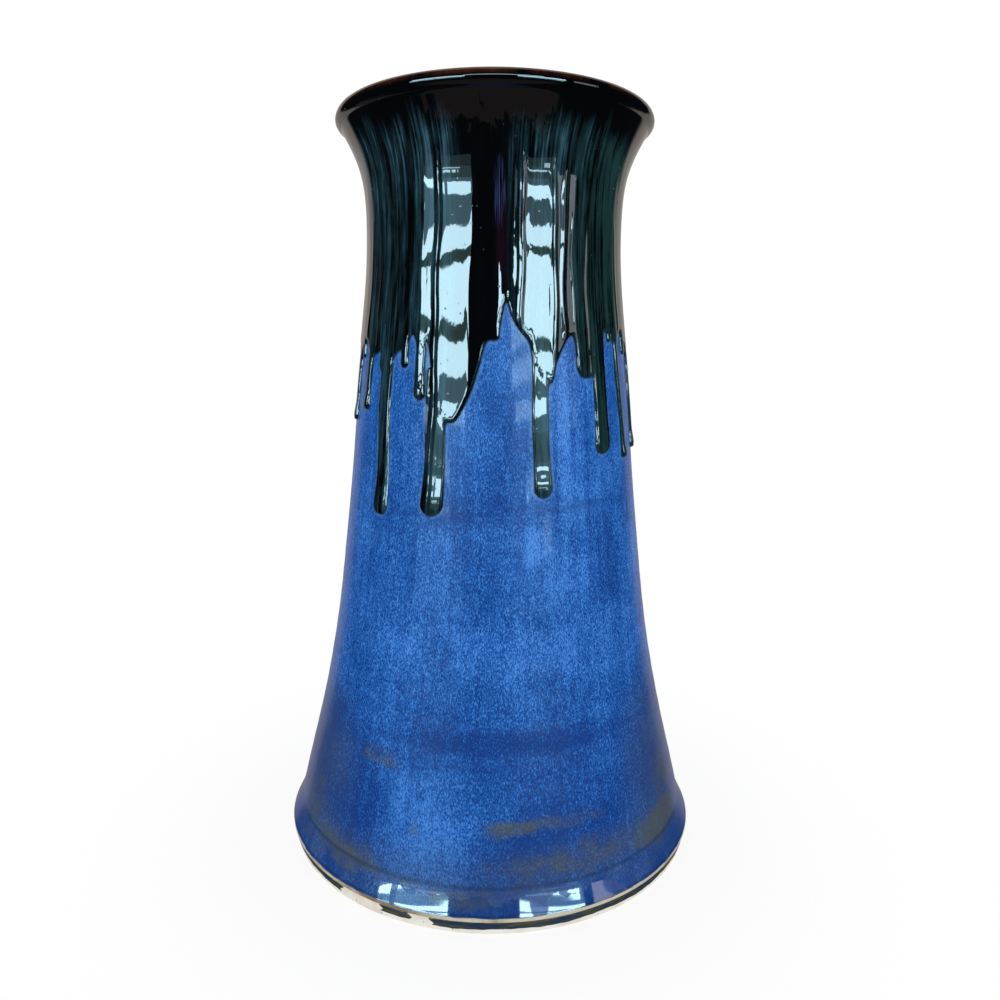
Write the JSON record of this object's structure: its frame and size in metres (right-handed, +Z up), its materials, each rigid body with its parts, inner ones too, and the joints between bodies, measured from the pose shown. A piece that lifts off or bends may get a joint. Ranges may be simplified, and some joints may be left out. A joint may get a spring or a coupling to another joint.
{
  "type": "flower vase",
  "caption": "Tall wheel-thrown ceramic flower vase with a wide belly, slim neck and flared lip, blue glaze under a dark dripping collar.",
  "frame": {"origin": "centre of the foot, on the plane the vase stands on", "axes": "+Z up along the vase's axis; -Y is the front, with the diagonal hem and the three longest runs; +X is the right"},
  "size_m": [0.178, 0.178, 0.3],
  "materials": {
    "clay": "bare fired stoneware, cream to tan, matt",
    "liner_glaze": "dark blue-grey liner glaze, gloss",
    "blue_glaze": "mottled cobalt blue glaze, satin gloss",
    "dark_glaze": "black to teal streaked glaze, high gloss"
  },
  "bodies": {
    "root": {"clay_body": "clay", "liner_glaze": "liner_glaze", "blue_glaze_coat": "blue_glaze", "dark_glaze_collar": "dark_glaze", "glaze_run_01": "dark_glaze", "glaze_run_02": "dark_glaze", "glaze_run_03": "dark_glaze", "glaze_run_04": "dark_glaze", "glaze_run_05": "dark_glaze", "glaze_run_06": "dark_glaze", "glaze_run_07": "dark_glaze", "glaze_run_08": "dark_glaze", "glaze_run_09": "dark_glaze", "glaze_run_10": "dark_glaze", "glaze_run_11": "dark_glaze", "glaze_run_12": "dark_glaze", "glaze_run_13": "dark_glaze", "glaze_run_14": "dark_glaze", "glaze_run_15": "dark_glaze", "glaze_run_16": "dark_glaze", "foot_band_01": "dark_glaze", "foot_band_02": "dark_glaze", "foot_band_03": "dark_glaze", "foot_band_04": "dark_glaze"}
  },
  "joints": []
}
